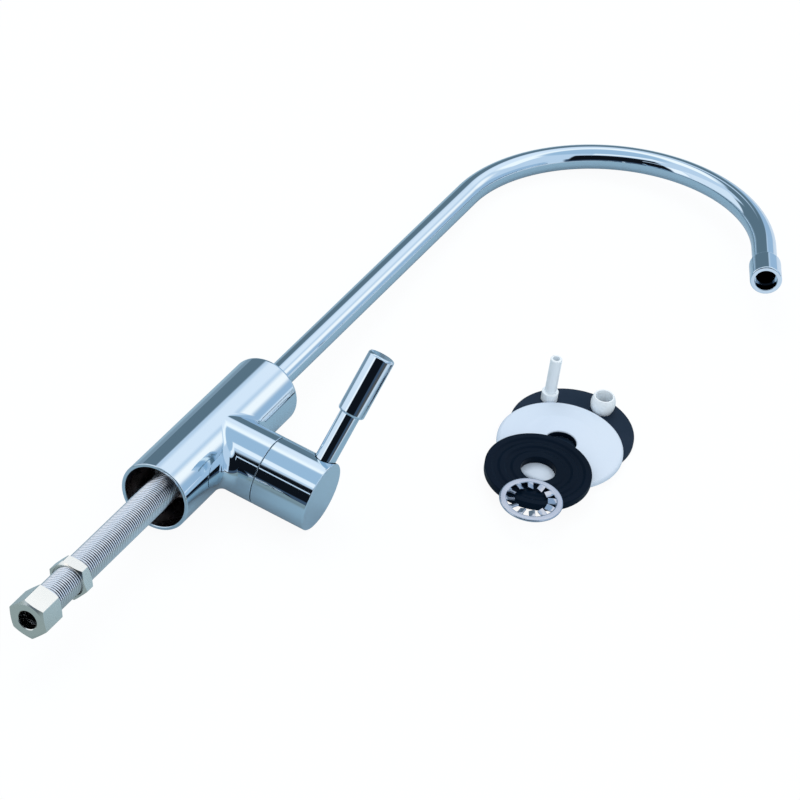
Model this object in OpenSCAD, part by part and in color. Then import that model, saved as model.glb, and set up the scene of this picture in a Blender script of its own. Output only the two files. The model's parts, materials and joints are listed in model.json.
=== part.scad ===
// Drinking water filter tap, lying on a table beside its loose mounting kit.
// Each tap piece is drawn upright, with its axis on Z, the valve branch along +X and the
// worktop face at Z = 0, and is then laid down as the tap rests on its own hub, body and spout.

/* [Body casting] */
// Outside diameter of the body
body_d = 26.6; // [24:0.1:30]
// Length of the body from the worktop face to its top
body_l = 78.4; // [74:0.2:90]
// Wall of the hollow skirt at the worktop face
skirt_wall = 1.35; // [1:0.05:2]
// Depth of the hollow skirt
skirt_depth = 24; // [18:0.5:25]
// Rounding of the body's top edge
top_round = 1.8; // [0.5:0.1:3]
// Diameter of the boss that takes the shank
boss_d = 15.6; // [14:0.1:18]
// Length of that boss below the roof of the skirt
boss_drop = 11; // [6:0.5:14]

/* [Valve branch] */
// How much thinner the branch and its hub are than the body
branch_step = 0.6; // [0.4:0.1:1.6]
// Height of the branch axis above the worktop face
branch_z = 39.8; // [39:0.1:41]
// End of the branch, measured from the body's axis
branch_end = 23.4; // [23:0.1:27]
// Radius of the blend between body and branch
blend_r = 5; // [3:0.5:7]
// Diameter of the valve chamber
chamber_d = 18; // [17:0.1:19]
// Floor of the valve chamber, measured from the body's axis
seat_x = 4.5; // [4:0.1:5]
// Diameter of the port in the chamber's floor
port_d = 5.2; // [4:0.1:5.6]

/* [Valve cartridge] */
// Thickness of the rubber seat seal
seal_t = 1.2; // [0.8:0.1:1.4]
// Thickness of each ceramic disc
disc_t = 2.5; // [2:0.1:2.6]
// Diameter of the ceramic discs
disc_d = 15.8; // [15:0.1:16]
// Diameter of the spindle
spindle_d = 7; // [6:0.1:7.4]
// Thickness of the spindle's driving flange
driver_t = 2.2; // [1.6:0.1:2.4]
// Length of the sleeve's neck that carries the spindle
neck_l = 5.2; // [4.8:0.1:5.4]
// Length of the gland nut
gland_l = 3.6; // [3:0.1:3.8]

/* [Handle] */
// Gap between the branch and the turning hub
seam_gap = 0.3; // [0.2:0.05:0.5]
// End face of the hub, measured from the body's axis
hub_end = 45.2; // [44.5:0.1:48]
// Where the lever's axis crosses the branch axis
lever_x = 39.6; // [38.5:0.1:40]
// Turn of the lever from the body's axis
lever_angle = 59.6; // [0:0.2:90]
// Lean of the lever towards the hub's end face
lever_tilt = 5; // [0:0.5:5.5]
// Diameter of the lever's rod
rod_d = 7.5; // [6.5:0.1:7.6]
// Diameter of the lever's grip
grip_d = 10; // [9:0.1:12]
// Start of the grip, measured from the branch axis
grip_start = 31.4; // [28:0.2:36]
// End of the grip, measured from the branch axis
grip_end = 54.9; // [52:0.2:62]

/* [Spout] */
// Outside diameter of the spout tube
tube_d = 9.5; // [9:0.1:9.6]
// Wall of the spout tube
tube_wall = 0.9; // [0.7:0.05:1.1]
// Top of the straight riser
riser_top = 234.5; // [200:0.5:260]
// Radius of the gooseneck's centre line
arch_r = 59.9; // [45:0.1:66]
// Angle through which the gooseneck bends
arch_sweep = 153.5; // [140:0.5:170]
// Straight length after the bend, with the collar
outlet_l = 23.2; // [20:0.1:30]
// Turn of the spout away from the branch
spout_turn = 9.6; // [0:0.1:12]
// Outside diameter of the outlet collar
collar_d = 12.1; // [11.4:0.1:14]
// Length of the outlet collar
collar_l = 12; // [10:0.1:15]
// Bore of the outlet collar
collar_bore_d = 8.55; // [8:0.05:9]
// Diameter of the socket in which the spout turns
socket_d = 10; // [9.9:0.05:10.2]
// Floor of that socket above the worktop face
socket_z = 56; // [55.5:0.1:57]
// Foot of the spout tube above the worktop face
tube_foot = 70; // [69.5:0.1:71]

/* [Shank and nuts] */
// Outside diameter of the threaded shank
shank_d = 11.1; // [10.8:0.1:11.4]
// Bore of the shank
shank_bore_d = 6.6; // [6.4:0.1:7]
// Lower end of the shank below the worktop face
shank_end = 78; // [76:0.5:90]
// Thickness of the seal above the shank
shank_seal_t = 1; // [0.6:0.1:1.2]
// Width across the flats of both nuts
nut_af = 13.5; // [13.2:0.1:15]
// Thickness of the lock nut
lock_nut_t = 5; // [3:0.1:6]
// Lower face of the lock nut below the worktop face
lock_nut_z = 57.1; // [50:0.1:62]
// Length of the compression nut
comp_nut_l = 11.2; // [10:0.1:14]
// Lower face of the compression nut below the shank's end
comp_nut_drop = 4.5; // [4:0.1:5]
// Diameter of the hole for the water tube
tube_hole_d = 7.2; // [6.6:0.1:7.6]
// Turn of the lock nut about the shank
lock_nut_turn = 3.8; // [0:0.1:60]
// Turn of the compression nut about the shank
comp_nut_turn = 8.7; // [0:0.1:60]

/* [Loose mounting kit] */
// Place of the white washer's centre on the table
kit_x = 96.4; // [85:0.1:110]
// Place of the white washer's centre along the tap
kit_y = 127.6; // [120:0.1:140]
// Diameter of the flat rubber washer
rubber_d = 46; // [44:0.5:50]
// Thickness of the flat rubber washer
rubber_t = 1.8; // [1.5:0.1:3]
// Diameter of the white washer
white_d = 46.5; // [44:0.5:48]
// Height of the white washer
white_t = 2.8; // [2.4:0.1:4]
// Diameter of the ribbed rubber washer
ribbed_d = 39; // [36:0.5:42]
// Thickness of the ribbed rubber washer
ribbed_t = 3; // [2.6:0.1:4]
// Diameter of the tooth lock washer
tooth_washer_d = 23; // [21:0.5:25]
// Thickness of the tooth lock washer
tooth_washer_t = 0.9; // [0.6:0.1:1.2]
// Number of teeth on the lock washer
teeth = 12; // [8:1:14]
// Diameter of the ferrule at its middle
ferrule_d = 9.2; // [8.8:0.1:10]
// Height of the ferrule
ferrule_h = 6.8; // [6:0.1:8]
// Length of the tube insert
insert_l = 19.5; // [14:0.1:22]
// Diameter of the insert's stem
insert_d = 4.3; // [4:0.1:4.8]
// Diameter of the insert's collar
insert_collar_d = 6.2; // [5.6:0.1:7]

/* [Hidden] */
$fn = 96;

// Clearances
run_gap = 0.05;
joint_gap = 0.05;
thread_gap = 0.05;
ring_gap = 0.03;
rest_gap = 0.02;
cut = 1;

// Radii of the main pieces
body_r = body_d / 2;
branch_r = (body_d - branch_step) / 2;
tube_r = tube_d / 2;
shank_r = shank_d / 2;
chamber_r = chamber_d / 2;
spindle_r = spindle_d / 2;
disc_r = disc_d / 2;
socket_r = socket_d / 2;
collar_r = collar_d / 2;

// Places along the branch axis, from the body's axis outwards
disc_x = seat_x + seal_t;
turn_x = disc_x + disc_t;
driver_x = turn_x + disc_t + run_gap;
neck_x = driver_x + driver_t + run_gap;
neck_end = neck_x + neck_l;
gland_x = neck_end + rest_gap;
hub_x = branch_end + seam_gap;

// Cartridge details
cup_r = disc_r + 0.1;
sleeve_r = chamber_r - run_gap;
way_depth = 1.1;
way_w = 3.2;
seal_hole_r = port_d / 2 + 0.9;
port_inner_r = 2.2;
port_outer_r = disc_r - 1.9;
port_angle = 76;
sleeve_ring_r = 0.62;
sleeve_ring_x = neck_x + neck_l * 0.36;
spindle_ring_r = 0.45;
spindle_ring_x = neck_x + neck_l * 0.62;
clip_t = 0.6;
clip_x = neck_end + run_gap;
clip_depth = 0.7;
clip_stand = 1.1;
gland_hole_r = spindle_r + clip_stand + 0.5;
gland_slot_w = 2.4;
gland_slot_depth = 1.2;
spindle_end = lever_x + 2.6;

// Handle details
hub_edge = 0.5;
hub_recess_r = branch_r - 1.1;
hub_recess_t = 1.2;
hub_core_r = chamber_r - 1;
hub_core_end = hub_x + 7;
glide_wall = 2.1;
rod_seat = branch_r - 1.4;
spot_r = rod_d / 2 + 0.5;
rod_tip_r = 2.5;
rod_tip_start = spindle_r + 0.35;
grip_socket = grip_start + (grip_end - grip_start) * 0.6;
grip_round = 0.9;

// Spout details
tube_bore_r = tube_r - tube_wall;
spigot_r = socket_r - run_gap;
spigot_bore_r = tube_bore_r - 1;
spigot_ring_r = 0.56;
spigot_ring_seat = 2 * spigot_ring_r + ring_gap;
spigot_ring_w = 1.7;
spigot_foot = socket_z + 0.6;
spigot_step = (tube_foot - spigot_foot) / 6.7;
clip_groove_z = spigot_foot + spigot_step;
lower_ring_z = spigot_foot + 3 * spigot_step;
upper_ring_z = spigot_foot + 5 * spigot_step;
spout_clip_t = 1;
spout_clip_inner = 0.65;
spout_clip_outer = 0.6;
clip_room = 0.1;
spigot_stub = 8;
collar_shoulder = 1.6;
collar_land = 4;
bend_growth = 0.005;
bend_lap = 0.05;

// Shank and nut details
shank_top = branch_z - chamber_r - shank_seal_t - 0.8;
inlet_r = 3;
comp_nut_z = -shank_end - comp_nut_drop;
comp_floor = comp_nut_drop - 1.1;
nut_crown = 0.8;

// The way the tap lies: its hub's end edge, its body's top edge and the gooseneck touch the table.
// The table is the plane whose normal in the tap's own axes is (lean_x, lean_y, 1).
function lean(angle) =
    let (reach = arch_r * (1 - cos(angle)))
    let (a = hub_end, b = branch_z - body_l, e = branch_r - body_r)
    let (c = reach * cos(spout_turn), d = riser_top + arch_r * sin(angle) - body_l)
    let (f = tube_r - body_r - reach * sin(spout_turn))
    [(e * d - b * f) / (a * d - b * c), (a * f - c * e) / (a * d - b * c)];
function touch_angle(at) = atan2(-at[1], cos(spout_turn) * at[0] + sin(spout_turn));
function settled(angle, steps) = steps == 0 ? lean(angle) : settled(touch_angle(lean(angle)), steps - 1);
lie = settled(25, 12);
lie_roll = atan(-lie[0]);
lie_pitch = atan(lie[1] * cos(lie_roll));
floor_z = (body_l * lie[1] - body_r * norm([1, lie[0]])) / norm([1, lie[0], lie[1]]) - rest_gap;

// Places of the loose kit
white_z = rubber_t + rest_gap;
ribbed_z = white_z + white_t + rest_gap;
tooth_z = ribbed_z + ribbed_t + rest_gap;
washer_hole_r = 5.8;
ribbed_hole_r = 6.4;
rubber_place = [kit_x - 1, kit_y + 11.7];
ribbed_place = [kit_x + 1.6, kit_y - 21.6];
tooth_place = [kit_x + 7.6, kit_y - 39];
behind_white = white_d / 2 + 0.4;
ferrule_bearing = 84;
insert_bearing = 126;
white_round = 2.2;
white_crown = 0.7;
white_slope_w = 9;
ferrule_bore_r = 3.2;
insert_bore_r = 1.3;
insert_collar_h = 4;
tooth_root_r = tooth_washer_d * 0.39;
tooth_tip_r = tooth_washer_d * 0.26;
tooth_root = 0.6;
tooth_twist = 24;
tooth_w = 2 * PI * tooth_tip_r / teeth * 0.72;
tooth_thin = tooth_washer_t * 0.72;

module lying() {
    rotate([lie_pitch, 0, 0]) rotate([0, lie_roll, 0]) rotate([-90, 0, 0]) children();
}

module on_branch() {
    translate([0, 0, branch_z]) rotate([0, 90, 0]) children();
}

module on_lever() {
    translate([lever_x, 0, branch_z]) rotate([lever_angle, 0, 0]) rotate([0, lever_tilt, 0]) children();
}

module on_spout() {
    rotate([0, 0, -spout_turn]) children();
}

module on_outlet() {
    translate([arch_r, 0, riser_top]) rotate([0, arch_sweep, 0]) translate([-arch_r, 0, 0]) children();
}

module on_table(place, z) {
    translate([place[0], place[1], floor_z + z]) children();
}

// A ring of rectangular section
module ring(outer, inner, h) {
    rotate_extrude() translate([inner, 0]) square([outer - inner, h]);
}

// A rubber ring of round section
module o_ring(middle, section) {
    rotate_extrude() translate([middle, 0]) circle(section, $fn = 32);
}

// A ring with a gap in it
module split_ring(outer, inner, h, gap) {
    rotate([0, 0, gap / 2]) rotate_extrude(angle = 360 - gap)
        translate([inner, 0]) square([outer - inner, h]);
}

// A bar with both end edges rounded
module round_bar(r, h, foot, head) {
    rotate_extrude() {
        translate([0, foot]) square([r, h - foot - head]);
        square([r - foot, h]);
        square([r - head, h]);
        translate([r - foot, foot]) circle(foot, $fn = 32);
        translate([r - head, h - head]) circle(head, $fn = 32);
    }
}

// A drilled way from one point to another in the plane of the branch
module drilled(from, to, r) {
    way = to - from;
    translate(from) rotate([0, atan2(way[0], way[2]), 0]) cylinder(r = r, h = norm(way));
}

// A hexagon with its corners turned down at both ends
module hex_bar(af, h) {
    corner = af / sqrt(3);
    intersection() {
        cylinder(r = corner, h = h, $fn = 6);
        rotate_extrude() polygon([
            [0, 0], [af / 2, 0], [corner + 0.01, nut_crown],
            [corner + 0.01, h - nut_crown], [af / 2, h], [0, h]
        ]);
    }
}

// The blend between body and branch is what a ball leaves as it rolls round both of them
blend_rings = 48;
blend_arcs = 6;
blend_sink = 0.12;
function blend_ball(turn) =
    let (y = (branch_r + blend_r) * sin(turn))
    [sqrt(pow(body_r + blend_r, 2) - y * y), y, branch_z + (branch_r + blend_r) * cos(turn)];
function blend_point(turn, share) =
    let (ball = blend_ball(turn))
    let (to_branch = [0, -sin(turn), -cos(turn)])
    let (to_body = [-ball[0], -ball[1], 0] / (body_r + blend_r))
    let (opening = acos(to_branch * to_body))
    let (arm = (sin(opening * (1 - share)) * to_branch + sin(opening * share) * to_body) / sin(opening))
    ball + (blend_r + blend_sink) * arm;
function blend_root(turn) =
    let (y = (branch_r - 2) * sin(turn))
    [sqrt(pow(body_r - 2, 2) - y * y), y, branch_z + (branch_r - 2) * cos(turn)];

module blend() {
    row = blend_arcs + 2;
    points = [
        for (i = [0 : blend_rings - 1])
            let (turn = 360 * i / blend_rings)
            each [for (k = [0 : blend_arcs]) blend_point(turn, k / blend_arcs), blend_root(turn)]
    ];
    faces = [
        for (i = [0 : blend_rings - 1])
            for (k = [0 : row - 1])
                let (a = i * row, b = ((i + 1) % blend_rings) * row, n = (k + 1) % row)
                each [[a + k, b + n, b + k], [a + k, a + n, b + n]]
    ];
    polyhedron(points, faces);
}

module body_shape() {
    rotate_extrude() {
        square([body_r, body_l - top_round]);
        square([body_r - top_round, body_l]);
        translate([body_r - top_round, body_l - top_round]) circle(top_round, $fn = 48);
    }
    on_branch() cylinder(r = branch_r, h = branch_end);
    blend();
}

module skirt_hollow() {
    difference() {
        translate([0, 0, -cut]) cylinder(r = body_r - skirt_wall, h = skirt_depth + cut);
        translate([0, 0, skirt_depth - boss_drop]) cylinder(d = boss_d, h = boss_drop + cut);
    }
}

module body() {
    seal_top = shank_top + shank_seal_t;
    color("lightsteelblue") lying() difference() {
        body_shape();
        skirt_hollow();
        translate([0, 0, skirt_depth - boss_drop - cut])
            cylinder(r = shank_r + thread_gap, h = seal_top - skirt_depth + boss_drop + cut);
        cylinder(r = inlet_r, h = branch_z);
        on_branch() cylinder(d = port_d, h = seat_x + cut);
        on_branch() translate([0, 0, seat_x]) cylinder(r = chamber_r, h = branch_end - seat_x + cut);
        on_branch() translate([0, 0, turn_x]) cylinder(r = chamber_r + way_depth, h = way_w);
        drilled([turn_x + way_w / 2, 0, branch_z + chamber_r - 1], [0, 0, socket_z + 2], 2);
        translate([0, 0, socket_z]) cylinder(r = socket_r, h = body_l - socket_z + cut);
        translate([0, 0, clip_groove_z - clip_room])
            cylinder(r = socket_r + spout_clip_outer + clip_room, h = spout_clip_t + 2 * clip_room);
    }
}

module shank() {
    edge = 0.7;
    color("silver") lying() rotate_extrude() polygon([
        [shank_bore_d / 2, -shank_end], [shank_r - edge, -shank_end], [shank_r, edge - shank_end],
        [shank_r, shank_top], [shank_bore_d / 2, shank_top]
    ]);
}

module shank_seal() {
    color("dimgray") lying() translate([0, 0, shank_top])
        ring(shank_r - 0.1, inlet_r + 0.2, shank_seal_t);
}

module lock_nut() {
    color("silver") lying() translate([0, 0, -lock_nut_z]) rotate([0, 0, lock_nut_turn]) difference() {
        hex_bar(nut_af, lock_nut_t);
        translate([0, 0, -cut]) cylinder(r = shank_r + thread_gap, h = lock_nut_t + 2 * cut);
    }
}

module compression_nut() {
    color("silver") lying() translate([0, 0, comp_nut_z]) rotate([0, 0, comp_nut_turn]) difference() {
        hex_bar(nut_af, comp_nut_l);
        translate([0, 0, -cut]) cylinder(d = tube_hole_d, h = comp_nut_l);
        translate([0, 0, comp_floor]) cylinder(r = shank_r + thread_gap, h = comp_nut_l);
    }
}

module seat_seal() {
    color("dimgray") lying() on_branch() translate([0, 0, seat_x])
        ring(chamber_r - 0.4, seal_hole_r, seal_t);
}

// Two ports opposite each other, through a disc
module ports(inner, outer, h) {
    for (side = [0, 180])
        rotate([0, 0, side - port_angle / 2]) translate([0, 0, -cut])
            rotate_extrude(angle = port_angle) translate([inner, 0]) square([outer - inner, h + 2 * cut]);
}

module fixed_disc() {
    color("ivory") lying() on_branch() translate([0, 0, disc_x]) difference() {
        cylinder(r = disc_r, h = disc_t);
        ports(port_inner_r, port_outer_r, disc_t);
    }
}

module turning_disc() {
    color("ivory") lying() on_branch() translate([0, 0, turn_x]) rotate([0, 0, -lever_angle]) difference() {
        cylinder(r = disc_r, h = disc_t);
        ports(port_inner_r, disc_r + cut, disc_t);
    }
}

module cartridge_sleeve() {
    groove_w = 2 * sleeve_ring_r + 0.3;
    color("goldenrod") lying() on_branch() difference() {
        translate([0, 0, disc_x + rest_gap]) cylinder(r = sleeve_r, h = neck_end - disc_x - rest_gap);
        translate([0, 0, disc_x - cut]) cylinder(r = cup_r, h = neck_x - disc_x + cut);
        cylinder(r = spindle_r + run_gap, h = neck_end + cut);
        translate([0, 0, sleeve_ring_x - groove_w / 2])
            ring(sleeve_r + cut, sleeve_r - 2 * sleeve_ring_r, groove_w);
        for (side = [0, 180])
            rotate([0, 0, side]) translate([0, -disc_r / 2, turn_x + 0.3])
                cube([sleeve_r + cut, disc_r, disc_t - 0.6]);
    }
}

module cartridge_o_ring() {
    color("dimgray") lying() on_branch() translate([0, 0, sleeve_ring_x])
        o_ring(chamber_r - ring_gap - sleeve_ring_r, sleeve_ring_r);
}

module spindle() {
    groove_w = 2 * spindle_ring_r + 0.3;
    color("goldenrod") lying() on_branch() difference() {
        union() {
            translate([0, 0, driver_x]) cylinder(r = disc_r - 0.3, h = driver_t);
            translate([0, 0, driver_x]) cylinder(r = spindle_r, h = spindle_end - driver_x);
        }
        translate([0, 0, spindle_ring_x - groove_w / 2])
            ring(spindle_r + cut, spindle_r - 2 * spindle_ring_r, groove_w);
        translate([0, 0, clip_x]) ring(spindle_r + cut, spindle_r - clip_depth, clip_t + run_gap);
    }
}

module spindle_o_ring() {
    color("dimgray") lying() on_branch() translate([0, 0, spindle_ring_x])
        o_ring(spindle_r + run_gap - ring_gap - spindle_ring_r, spindle_ring_r);
}

module spindle_clip() {
    color("gray") lying() on_branch() translate([0, 0, clip_x + run_gap / 2])
        split_ring(spindle_r + clip_stand, spindle_r - clip_depth + ring_gap, clip_t, 70);
}

module gland_nut() {
    color("goldenrod") lying() on_branch() translate([0, 0, gland_x]) difference() {
        ring(chamber_r - thread_gap, gland_hole_r, gland_l);
        for (side = [0, 90])
            rotate([0, 0, side]) translate([-chamber_r, -gland_slot_w / 2, gland_l - gland_slot_depth])
                cube([2 * chamber_r, gland_slot_w, gland_slot_depth + cut]);
    }
}

module glide_ring() {
    color("white") lying() on_branch() translate([0, 0, branch_end + rest_gap])
        ring(hub_recess_r - 0.1, hub_recess_r - glide_wall, seam_gap + hub_recess_t - 2 * rest_gap);
}

module handle_hub() {
    color("lightsteelblue") lying() difference() {
        on_branch() translate([0, 0, hub_x]) round_bar(branch_r, hub_end - hub_x, 0.2, hub_edge);
        on_branch() translate([0, 0, hub_x - cut]) cylinder(r = hub_recess_r, h = hub_recess_t + cut);
        on_branch() translate([0, 0, hub_x]) cylinder(r = hub_core_r, h = hub_core_end - hub_x);
        on_branch() translate([0, 0, hub_x])
            cylinder(r = spindle_r + joint_gap, h = spindle_end + 0.3 - hub_x);
        on_lever() cylinder(r = rod_tip_r + thread_gap, h = branch_r);
        on_lever() translate([0, 0, rod_seat]) cylinder(r = spot_r, h = branch_r);
    }
}

module lever_rod() {
    color("lightsteelblue") lying() on_lever() {
        translate([0, 0, rod_tip_start]) cylinder(r = rod_tip_r, h = rod_seat - rod_tip_start + cut);
        translate([0, 0, rod_seat + rest_gap]) cylinder(d = rod_d, h = grip_start - rod_seat - 2 * rest_gap);
        translate([0, 0, grip_start - cut]) cylinder(r = rod_tip_r, h = grip_socket - grip_start);
    }
}

module lever_grip() {
    color("lightsteelblue") lying() on_lever() difference() {
        translate([0, 0, grip_start]) round_bar(grip_d / 2, grip_end - grip_start, grip_round, grip_round);
        translate([0, 0, grip_start - cut])
            cylinder(r = rod_tip_r + thread_gap, h = grip_socket - grip_start + cut);
    }
}

module spout_spigot() {
    color("goldenrod") lying() on_spout() difference() {
        union() {
            translate([0, 0, spigot_foot]) cylinder(r = spigot_r, h = tube_foot - rest_gap - spigot_foot);
            translate([0, 0, spigot_foot])
                cylinder(r = tube_bore_r - joint_gap, h = tube_foot + spigot_stub - spigot_foot);
        }
        translate([0, 0, spigot_foot - cut]) cylinder(r = spigot_bore_r, h = body_l);
        translate([0, 0, clip_groove_z - clip_room])
            ring(socket_r + cut, socket_r - spout_clip_inner - clip_room, spout_clip_t + 2 * clip_room);
        for (z = [lower_ring_z, upper_ring_z])
            translate([0, 0, z - spigot_ring_w / 2])
                ring(socket_r + cut, socket_r - spigot_ring_seat - ring_gap, spigot_ring_w);
    }
}

module spout_o_ring(z) {
    color("dimgray") lying() on_spout() translate([0, 0, z])
        o_ring(socket_r - ring_gap - spigot_ring_r, spigot_ring_r);
}

module lower_spout_o_ring() {
    spout_o_ring(lower_ring_z);
}

module upper_spout_o_ring() {
    spout_o_ring(upper_ring_z);
}

module spout_clip() {
    color("white") lying() on_spout() translate([0, 0, clip_groove_z])
        split_ring(socket_r + spout_clip_outer, socket_r - spout_clip_inner, spout_clip_t, 50);
}

// The wall of the spout tube, cut square to its path
module tube_section(growth) {
    difference() {
        circle(tube_r + growth);
        circle(tube_bore_r - growth);
    }
}

module spout_tube() {
    color("lightsteelblue") lying() on_spout() {
        translate([0, 0, tube_foot]) linear_extrude(riser_top - tube_foot + bend_lap) tube_section(0);
        translate([arch_r, 0, riser_top]) rotate([90, 0, 180])
            rotate_extrude(angle = arch_sweep) translate([arch_r, 0]) tube_section(bend_growth);
        on_outlet() translate([0, 0, -bend_lap])
            linear_extrude(outlet_l - collar_land + bend_lap) tube_section(0);
    }
}

module outlet_collar() {
    lip = 0.6;
    color("lightsteelblue") lying() on_spout() on_outlet()
    translate([0, 0, outlet_l - collar_l]) difference() {
        rotate_extrude() difference() {
            square([collar_r, collar_l]);
            translate([collar_r, 0]) difference() {
                translate([-collar_shoulder, -cut]) square([collar_shoulder + cut, collar_shoulder + cut]);
                translate([-collar_shoulder, collar_shoulder]) circle(collar_shoulder, $fn = 48);
            }
            translate([collar_r, collar_l]) difference() {
                translate([-lip, -lip]) square([lip + cut, lip + cut]);
                translate([-lip, -lip]) circle(lip, $fn = 48);
            }
        }
        translate([0, 0, -cut]) cylinder(r = tube_r + joint_gap, h = collar_l - collar_land + rest_gap + cut);
        cylinder(d = collar_bore_d, h = collar_l + cut);
    }
}

module rubber_washer() {
    color("darkslategray") on_table(rubber_place, 0) ring(rubber_d / 2, washer_hole_r, rubber_t);
}

module white_washer() {
    r = white_d / 2;
    flat = r - white_slope_w;
    color("white") on_table([kit_x, kit_y], white_z) rotate_extrude() difference() {
        intersection() {
            translate([washer_hole_r, 0]) square([r - washer_hole_r, white_t]);
            union() {
                square([r - white_round, white_t]);
                translate([r - white_round, white_t - white_round]) circle(white_round, $fn = 48);
            }
        }
        translate([flat, white_t]) rotate([0, 0, -atan2(white_crown, white_slope_w)]) square([r, white_t]);
    }
}

module ribbed_washer() {
    groove = 0.5;
    r = ribbed_d / 2;
    color("darkslategray") on_table(ribbed_place, ribbed_z) difference() {
        ring(r, ribbed_hole_r, ribbed_t);
        translate([0, 0, ribbed_t - groove]) ring(r * 0.86, r * 0.74, groove + cut);
        translate([0, 0, ribbed_t - groove]) ring(r * 0.62, r * 0.5, groove + cut);
    }
}

// One tooth, twisted out of the washer's plane
module lock_tooth() {
    translate([(tooth_tip_r + tooth_root_r) / 2 + tooth_root / 2, 0, tooth_washer_t / 2])
        rotate([tooth_twist, 0, 0])
            cube([tooth_root_r - tooth_tip_r + tooth_root, tooth_w, tooth_thin], center = true);
}

module tooth_washer() {
    droop = (tooth_w * sin(tooth_twist) + tooth_thin * cos(tooth_twist) - tooth_washer_t) / 2;
    color("silver") on_table(tooth_place, tooth_z + droop) union() {
        ring(tooth_washer_d / 2, tooth_root_r, tooth_washer_t);
        for (i = [0 : teeth - 1])
            rotate([0, 0, 360 * i / teeth]) lock_tooth();
    }
}

module ferrule() {
    waist = ferrule_d / 2;
    end_r = waist * 0.8;
    half = ferrule_h / 2;
    barrel = (half * half + pow(waist - end_r, 2)) / (2 * (waist - end_r));
    place = [kit_x, kit_y] + (behind_white + waist) * [cos(ferrule_bearing), sin(ferrule_bearing)];
    color("white") on_table(place, rubber_t + rest_gap) rotate_extrude() intersection() {
        translate([ferrule_bore_r, 0]) square([waist, ferrule_h]);
        translate([waist - barrel, half]) circle(barrel, $fn = 128);
    }
}

module tube_insert() {
    collar = insert_collar_d / 2;
    place = [kit_x, kit_y] + (behind_white + collar) * [cos(insert_bearing), sin(insert_bearing)];
    color("white") on_table(place, rubber_t + rest_gap) difference() {
        union() {
            round_bar(collar, insert_collar_h, 0.4, 0.4);
            round_bar(insert_d / 2, insert_l, 0.2, 0.5);
        }
        translate([0, 0, -cut]) cylinder(r = insert_bore_r, h = insert_l + 2 * cut);
    }
}

body();
shank();
shank_seal();
lock_nut();
compression_nut();
seat_seal();
fixed_disc();
turning_disc();
cartridge_sleeve();
cartridge_o_ring();
spindle();
spindle_o_ring();
spindle_clip();
gland_nut();
glide_ring();
handle_hub();
lever_rod();
lever_grip();
spout_spigot();
lower_spout_o_ring();
upper_spout_o_ring();
spout_clip();
spout_tube();
outlet_collar();
rubber_washer();
white_washer();
ribbed_washer();
tooth_washer();
ferrule();
tube_insert();
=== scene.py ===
"""Drinking water filter tap, lying beside its loose mounting kit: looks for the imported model."""
import json
import math

import bpy
import numpy as np
from mathutils import Matrix, Vector


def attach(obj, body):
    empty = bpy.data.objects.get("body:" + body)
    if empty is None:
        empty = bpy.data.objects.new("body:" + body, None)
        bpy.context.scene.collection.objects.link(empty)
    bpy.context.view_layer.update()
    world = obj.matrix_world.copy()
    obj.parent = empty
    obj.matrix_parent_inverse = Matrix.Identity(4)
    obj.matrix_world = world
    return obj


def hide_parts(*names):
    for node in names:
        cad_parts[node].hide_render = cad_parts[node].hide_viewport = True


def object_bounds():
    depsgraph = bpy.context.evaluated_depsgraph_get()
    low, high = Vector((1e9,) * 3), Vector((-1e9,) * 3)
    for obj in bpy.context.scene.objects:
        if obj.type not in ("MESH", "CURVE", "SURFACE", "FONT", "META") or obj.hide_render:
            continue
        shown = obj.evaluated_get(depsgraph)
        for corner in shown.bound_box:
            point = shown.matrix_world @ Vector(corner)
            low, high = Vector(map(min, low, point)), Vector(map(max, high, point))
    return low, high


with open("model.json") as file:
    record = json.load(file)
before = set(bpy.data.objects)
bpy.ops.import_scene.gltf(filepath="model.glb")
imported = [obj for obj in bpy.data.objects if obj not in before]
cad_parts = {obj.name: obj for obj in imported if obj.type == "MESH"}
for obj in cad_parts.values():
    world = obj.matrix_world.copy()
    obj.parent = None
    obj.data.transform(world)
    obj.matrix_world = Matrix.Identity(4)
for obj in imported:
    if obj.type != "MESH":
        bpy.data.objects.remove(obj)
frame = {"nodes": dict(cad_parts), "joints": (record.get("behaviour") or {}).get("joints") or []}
cad_low, cad_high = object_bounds()

MM = 0.001

# Sizes of the tap in millimetres, drawn upright: Z up the body, X along the valve branch
# The first row has the play of a fit, the gap between resting pieces and two small allowances. The second
# has the roundings of keen and eased edges.
FIT, REST_GAP, NEAR, HAIR = 0.05, 0.02, 0.01, 1e-4
KEEN, EASED = 0.05, 0.3
BODY_R, BODY_L, TOP_ROUND, RIM_ROUND = 13.3, 78.4, 1.8, 0.4
SKIRT_R, SKIRT_DEPTH, SKIRT_ROUND = 11.95, 24.0, 1.0
BOSS_R, BOSS_FACE, BOSS_ROOT, BOSS_EDGE = 7.8, 13.0, 0.8, 0.5
BRANCH_R, BRANCH_Z, BRANCH_END, BRANCH_ROUND, BLEND_R = 13.0, 39.8, 23.4, 0.25, 5.0
CHAMBER_R, CHAMBER_FLOOR = 9.0, 4.5
SOCKET_R, SOCKET_FLOOR = 5.0, 56.0
SHANK_R, SHANK_BORE_R, SHANK_END, SHANK_TOP = 5.55, 3.3, -78.0, 29.0
SHANK_HOLE_R, SHANK_HOLE_END = 5.61, 30.0
THREAD_PITCH, THREAD_DEPTH, THREAD_CREST, THREAD_RUN_OUT = 25.4 / 24, 0.40, 0.05, 0.2
NUT_FLATS, NUT_CORNER_ROUND = 13.5, 0.35
LOCK_NUT_Z, LOCK_NUT_T, LOCK_NUT_TURN = -57.1, 5.0, 3.8
LOCK_NUT_CROWN, LOCK_NUT_SLOPE, LOCK_NUT_BEVEL = 0.97, 0.62, 0.6
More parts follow.
